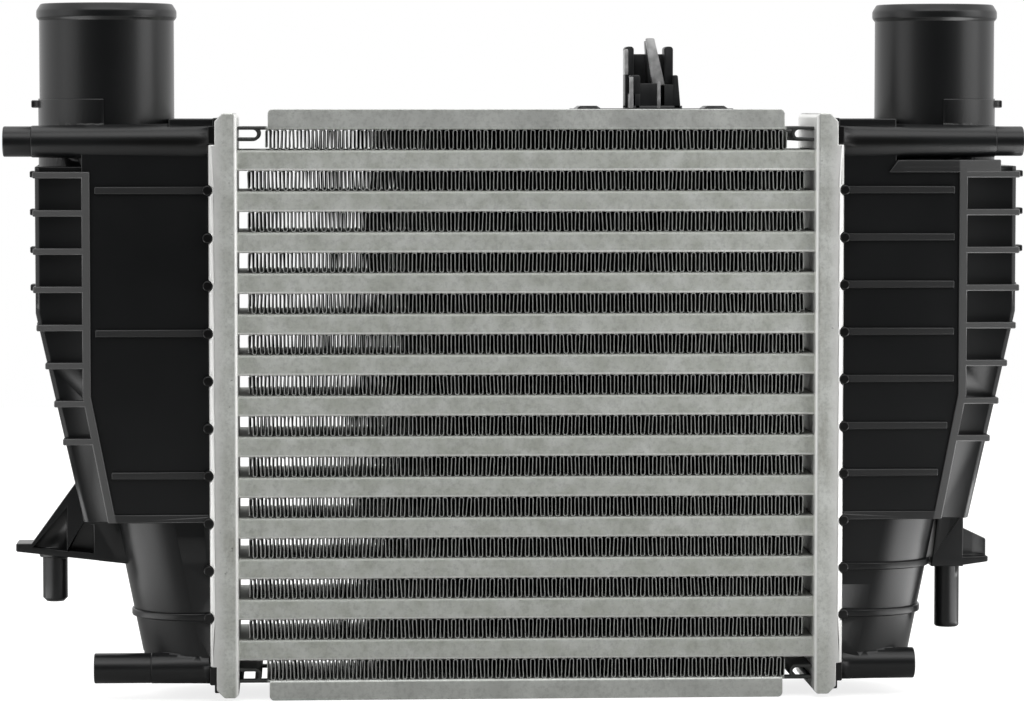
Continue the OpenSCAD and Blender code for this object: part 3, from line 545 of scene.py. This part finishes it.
# Side plate sheet is broadly clouded, and its straps stand in shade and look dark
plate_finish = brazed_aluminium(
    "side plate sheet", "#cfd1cd", "#e0e2de", 0.56, mottle_mm=14, dull_and_shaded=(core_x, strap_start)
)
for level in ("bottom", "top"):
    plate = rounded_copy(f"{level}_side_plate", f"{level}_channel", 0.0003)
    plate.data.materials.append(plate_finish)


# End tanks
# Both are moulded in black glass-filled nylon, satin with a very fine grain, with rounded
# rib edges that catch the light. The header's rolled lip holds each by its foot.

# The duct below the ledge is a half-round that leans outwards as it rises
lean_angle, ledge_z, round_r = math.radians(11.4), 0.06800, 0.0226
# Heights at which the long walls are parted for even shading
tank_rings = (0.026, 0.034, 0.043, 0.052, 0.2195, 0.2305, 0.2575)
# Glass-filled nylon is near black, with soft clear highlights on its rounds. Its grain is
# about 0.2 mm, too fine to show, so it is drawn coarser.
flow_mm, nylon_grain_mm = 30, 0.8
nylon = new_material("moulded glass-filled nylon")
tree = nylon.node_tree
place = add_node(tree, "ShaderNodeTexCoord").outputs["Object"]
flow = add_node(
    tree, "ShaderNodeTexNoise", {"Vector": place}, Scale=1000 / flow_mm, Detail=4.0
)
grain = add_node(
    tree, "ShaderNodeTexNoise", {"Vector": place}, Scale=1000 / nylon_grain_mm, Detail=3.0
)
tone = add_node(tree, "ShaderNodeValToRGB", {"Fac": flow.outputs["Fac"]})
tone.color_ramp.elements[0].color = linear("#0c0d0e")
tone.color_ramp.elements[1].color = linear("#121314")
gloss = add_node(
    tree, "ShaderNodeMapRange", {"Value": flow.outputs["Fac"]}, To_Min=0.28, To_Max=0.35
)
# The ribs' fronts, 23.4 to 24.8 mm out from the middle, carry a painted grey highlight from
# the ledge's underside to the top bar, most of all on the cells and the upright rib beside
# them, which leans outwards from 155.7 mm at the ledge to 165 mm, and less on the right tank
along = add_node(tree, "ShaderNodeSeparateXYZ", {"Vector": place})
off_y = add_node(tree, "ShaderNodeMath", {0: along.outputs["Y"]}, operation="ADD", _1=-core_y)
depth = add_node(tree, "ShaderNodeMath", {0: off_y.outputs[0]}, operation="ABSOLUTE").outputs[0]
off_x = add_node(
    tree, "ShaderNodeMath", {0: along.outputs["X"]}, operation="SUBTRACT", _1=core_x
)
across = add_node(tree, "ShaderNodeMath", {0: off_x.outputs[0]}, operation="ABSOLUTE").outputs[0]
height = along.outputs["Z"]
proud = add_node(
    tree, "ShaderNodeMapRange", {"Value": depth}, From_Min=0.0234, From_Max=0.0240
)
lugs_off = add_node(
    tree, "ShaderNodeMapRange", {"Value": depth},
    From_Min=0.0245, From_Max=0.0248, To_Min=1.0, To_Max=0.0,
)
above_foot = add_node(
    tree, "ShaderNodeMapRange", {"Value": height}, From_Min=0.060, From_Max=0.064
)
below_bar = add_node(
    tree, "ShaderNodeMapRange", {"Value": height},
    From_Min=0.2055, From_Max=0.2060, To_Min=1.0, To_Max=0.0,
)
edge_rib = add_node(
    tree, "ShaderNodeMapRange", {"Value": height},
    From_Min=ledge_z, From_Max=0.116, To_Min=0.1557, To_Max=0.1650,
)
past_rib = add_node(
    tree, "ShaderNodeMath", {0: across, 1: edge_rib.outputs["Result"]}, operation="SUBTRACT"
)
cells = add_node(
    tree, "ShaderNodeMapRange", {"Value": past_rib.outputs[0]},
    From_Min=-0.0003, From_Max=0.0003, To_Min=0.26,
)
one_side = add_node(
    tree, "ShaderNodeMapRange", {"Value": along.outputs["X"]},
    From_Min=-0.01, From_Max=0.01, To_Min=0.7, To_Max=0.65,
)
front = proud.outputs["Result"]
for mask in (lugs_off, above_foot, below_bar, cells, one_side):
    product = add_node(
        tree, "ShaderNodeMath", {0: front, 1: mask.outputs["Result"]}, operation="MULTIPLY"
    )
    front = product.outputs[0]
# The masked rib fronts are mixed to grey: a painted highlight
painted_highlight = add_node(
    tree, "ShaderNodeMix", {0: front, 6: tone.outputs["Color"]},
    data_type="RGBA", _7=linear("#636363"),
)
# The lugs in the header's notches are painted near black, as painted shade in the notches
in_notch = add_node(
    tree, "ShaderNodeMapRange", {"Value": depth}, From_Min=0.0252, From_Max=0.0256
)
notch_shade = add_node(
    tree, "ShaderNodeMix", {0: in_notch.outputs["Result"], 6: painted_highlight.outputs[2]},
    data_type="RGBA", _7=linear("#040404"),
)
tooth = add_node(
    tree, "ShaderNodeBump", {"Height": grain.outputs["Fac"]}, Strength=0.08, Distance=0.0002
)
nylon_shader = add_node(
    tree, "ShaderNodeBsdfPrincipled",
    {
        "Base Color": notch_shade.outputs[2],
        "Roughness": gloss.outputs["Result"],
        "Normal": tooth.outputs["Normal"],
    },
    IOR=1.53,
)
add_node(tree, "ShaderNodeOutputMaterial", {"Surface": nylon_shader.outputs[0]})


def true_rounds(piece, rounds):
    """Gives the faces on the piece's round forms the normals of true rounds, so that they shade
    evenly. A round is a point on its middle line, the line's direction and its radius."""
    off_round, facing = 0.00012, 0.94
    mesh = piece.data
    normals = [corner.vector.copy() for corner in mesh.corner_normals]
    for face in mesh.polygons:
        for point, way, radius in rounds:
            arms = [mesh.vertices[v].co - point for v in face.vertices]
            arms = [arm - way * arm.dot(way) for arm in arms]
            if all(
                abs(arm.length - radius) < off_round
                and face.normal.dot(arm.normalized()) > facing
                for arm in arms
            ):
                for k, arm in zip(face.loop_indices, arms):
                    normals[k] = arm.normalized()
    mesh.normals_split_custom_set(normals)


for side, sign, axis_x, spigot_r in (
    ("left", -1, 0.1340, 0.0257),
    ("right", 1, 0.1370, 0.0230),
):
    tank = rounded_copy(f"{side}_tank", f"{side}_end_tank", 0.0005, rings=tank_rings)
    foot_axis = Vector((core_x + sign * axis_x, core_y, ledge_z))
    foot_way = Vector((sign * math.sin(lean_angle), 0, math.cos(lean_angle)))
    spigot_axis = Vector((core_x + sign * 0.1597, core_y + 0.006, 0.24))
    spigot_way = Vector((0, 0, 1))
    true_rounds(
        tank, ((foot_axis, foot_way, round_r), (spigot_axis, spigot_way, spigot_r))
    )
    tank.data.materials.append(nylon)


# Shoulder lip
# A raised lip of the same nylon closes the gap between the right duct's shoulder and the bar
# above it. It is moulded with the tank, and its top is cut back at its left end.
bpy.ops.object.select_all(action="DESELECT")
lip_low, lip_high = Vector((0.1402, -0.0265, 0.2005)), Vector((0.1832, -0.0232, 0.2054))
lip_cut_back = 0.0035
bpy.ops.mesh.primitive_cube_add(size=1, location=(lip_low + lip_high) / 2)
lip = bpy.context.object
lip.name = "right_shoulder_lip"
lip.scale = lip_high - lip_low
only(lip)
bpy.ops.object.transform_apply(location=True, rotation=True, scale=True)
bpy.ops.object.mode_set(mode="EDIT")
pick(lip, lambda co: co.x < lip_low.x + hair and co.z > lip_high.z - hair)
bpy.ops.transform.translate(value=(lip_cut_back, 0, 0))
bpy.ops.object.mode_set(mode="OBJECT")
soften = lip.modifiers.new("soften", "BEVEL")
soften.width = 0.0005
soften.segments = 3
bpy.ops.object.modifier_apply(modifier="soften")
bpy.ops.object.shade_smooth_by_angle(angle=math.radians(35))
lip.data.materials.append(nylon)
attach(lip, "root")


# Top clip
# A smaller nylon moulding that stands in the top channel and holds a pipe or a cable between
# two towers and a springy finger. The finger, its rib, the left tower's edge and a strip of the
# left front post are painted pale grey as painted highlights.
clip_low, clip_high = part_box("top_clip")
clip_middle, deck = (clip_low + clip_high) / 2, clip_high.z - 0.0272
base_top = deck + 0.0013
clip_flow_mm = 6

clip_nylon = new_material("moulded clip nylon")
painted_highlight_nylon = new_material("rubbed clip nylon")
# Clip nylon is a shade greyer and duller than the tanks. Its pale copy is a painted highlight,
# and smoother. Its grain is drawn as coarse as the tanks'.
for finish, dark, pale, rough in (
    (clip_nylon, "#1d1e1f", "#2b2c2d", 0.38),
    (painted_highlight_nylon, "#8f8f8f", "#cfcfcf", 0.3),
):
    tree = finish.node_tree
    place = add_node(tree, "ShaderNodeTexCoord").outputs["Object"]
    flow = add_node(
        tree, "ShaderNodeTexNoise", {"Vector": place}, Scale=1000 / clip_flow_mm, Detail=4.0
    )
    tone = add_node(tree, "ShaderNodeValToRGB", {"Fac": flow.outputs["Fac"]})
    tone.color_ramp.elements[0].position = 0.35
    tone.color_ramp.elements[0].color = linear(dark)
    tone.color_ramp.elements[1].position = 0.65
    tone.color_ramp.elements[1].color = linear(pale)
    grain = add_node(
        tree, "ShaderNodeTexNoise", {"Vector": place}, Scale=1000 / nylon_grain_mm, Detail=3.0
    )
    tooth = add_node(
        tree, "ShaderNodeBump", {"Height": grain.outputs["Fac"]}, Strength=0.1, Distance=0.0002
    )
    clip_shader = add_node(
        tree, "ShaderNodeBsdfPrincipled",
        {"Base Color": tone.outputs["Color"], "Normal": tooth.outputs["Normal"]},
        Roughness=rough, IOR=1.53,
    )
    add_node(tree, "ShaderNodeOutputMaterial", {"Surface": clip_shader.outputs[0]})


def clip_bar(x, y, z, shift=(0, 0), top_round=0.0, finish=clip_nylon):
    """One bar of the clip. x, y and z are its low and high ends in mm, from the clip's middle and
    the plate's top; shift moves its top's left and right edges, and top_round rounds them."""
    ends = [(clip_middle.x, x), (clip_middle.y, y), (deck, z)]
    centre = [start + (low + high) / 2000 for start, (low, high) in ends]
    bpy.ops.object.select_all(action="DESELECT")
    bpy.ops.mesh.primitive_cube_add(size=1, location=centre)
    bar = bpy.context.object
    bar.scale = [(high - low) / 1000 for start, (low, high) in ends]
    only(bar)
    bpy.ops.object.transform_apply(location=True, rotation=True, scale=True)
    bpy.ops.object.mode_set(mode="EDIT")
    top = deck + z[1] / 1000 - hair
    for end, move in zip(x, shift):
        rim = clip_middle.x + end / 1000
        pick(bar, lambda co: co.z > top and abs(co.x - rim) < hair)
        bpy.ops.transform.translate(value=(move / 1000, 0, 0))
    for end, move in zip(x, shift):
        if top_round:
            rim = clip_middle.x + (end + move) / 1000
            pick(bar, lambda co: co.z > top and abs(co.x - rim) < hair)
            bpy.ops.mesh.bevel(offset=top_round / 1000, segments=4)
    bpy.ops.object.mode_set(mode="OBJECT")
    bar.data.materials.append(finish)
    return bar


bars = [
    # Towers, the left one's edge with its painted highlight, and the wall behind them
    clip_bar((-9.9, -6.5), (-2, 8), (0.3, 24), top_round=1.2),
    clip_bar((-10.1, -8.7), (-2.3, 5), (13.2, 23.1), top_round=0.9, finish=painted_highlight_nylon),
    clip_bar((5.2, 8.6), (-2, 8), (0.3, 24), top_round=1.2),
    clip_bar((-8, 8), (5.5, 8), (0.3, 21.2)),
    # Finger, which leans to the left as it rises, its back and its rib
    clip_bar(
        (0.4, 5.2), (-5, -1.5), (9.2, 27.2),
        shift=(-2.6, -4.1), top_round=0.6, finish=painted_highlight_nylon,
    ),
    clip_bar((-0.4, 3.6), (-2, 6), (0.3, 26.2), shift=(-1.6, -2.8)),
    clip_bar((1.8, 3.2), (-9.1, -6), (0.3, 10.4), top_round=0.4, finish=painted_highlight_nylon),
    # Front posts: the left one has a slot up its foot
    clip_bar((-8.8, -4.6), (-9, -1.5), (5.6, 13), top_round=0.8),
    clip_bar((-8.8, -7.2), (-9.1, -1.5), (0.3, 12.4), finish=painted_highlight_nylon),
    clip_bar((-6.6, -4.6), (-9, -1.5), (0.3, 6)),
    clip_bar((8.2, 10.9), (-9, -1.5), (0.3, 13), shift=(0, -1.1), top_round=0.6),
    # Low wall between them, parted beside the rib
    clip_bar((-4.8, 2.6), (-8.7, -6.5), (0.3, 9.8)),
    clip_bar((4.7, 8.6), (-8.7, -6.5), (0.3, 9.4)),
]
# The base is the CAD solid's, cut off level, and the bars stand on it
clip = rounded_copy("top_clip", "top_pipe_clip", 0.0004)
clip.data.materials.append(nylon)
only(clip)
bpy.ops.object.mode_set(mode="EDIT")
bpy.ops.mesh.select_all(action="SELECT")
bpy.ops.mesh.bisect(
    plane_co=(0, 0, base_top), plane_no=(0, 0, 1), clear_outer=True, use_fill=True
)
bpy.ops.object.mode_set(mode="OBJECT")
for bar in bars:
    only(bar)
    soften = bar.modifiers.new("soften", "BEVEL")
    soften.width = 0.0003
    soften.segments = 2
    bpy.ops.object.modifier_apply(modifier="soften")
    bpy.ops.object.shade_smooth_by_angle(angle=math.radians(35))
only(clip)
for bar in bars:
    bar.select_set(True)
bpy.ops.object.join()

low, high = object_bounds()
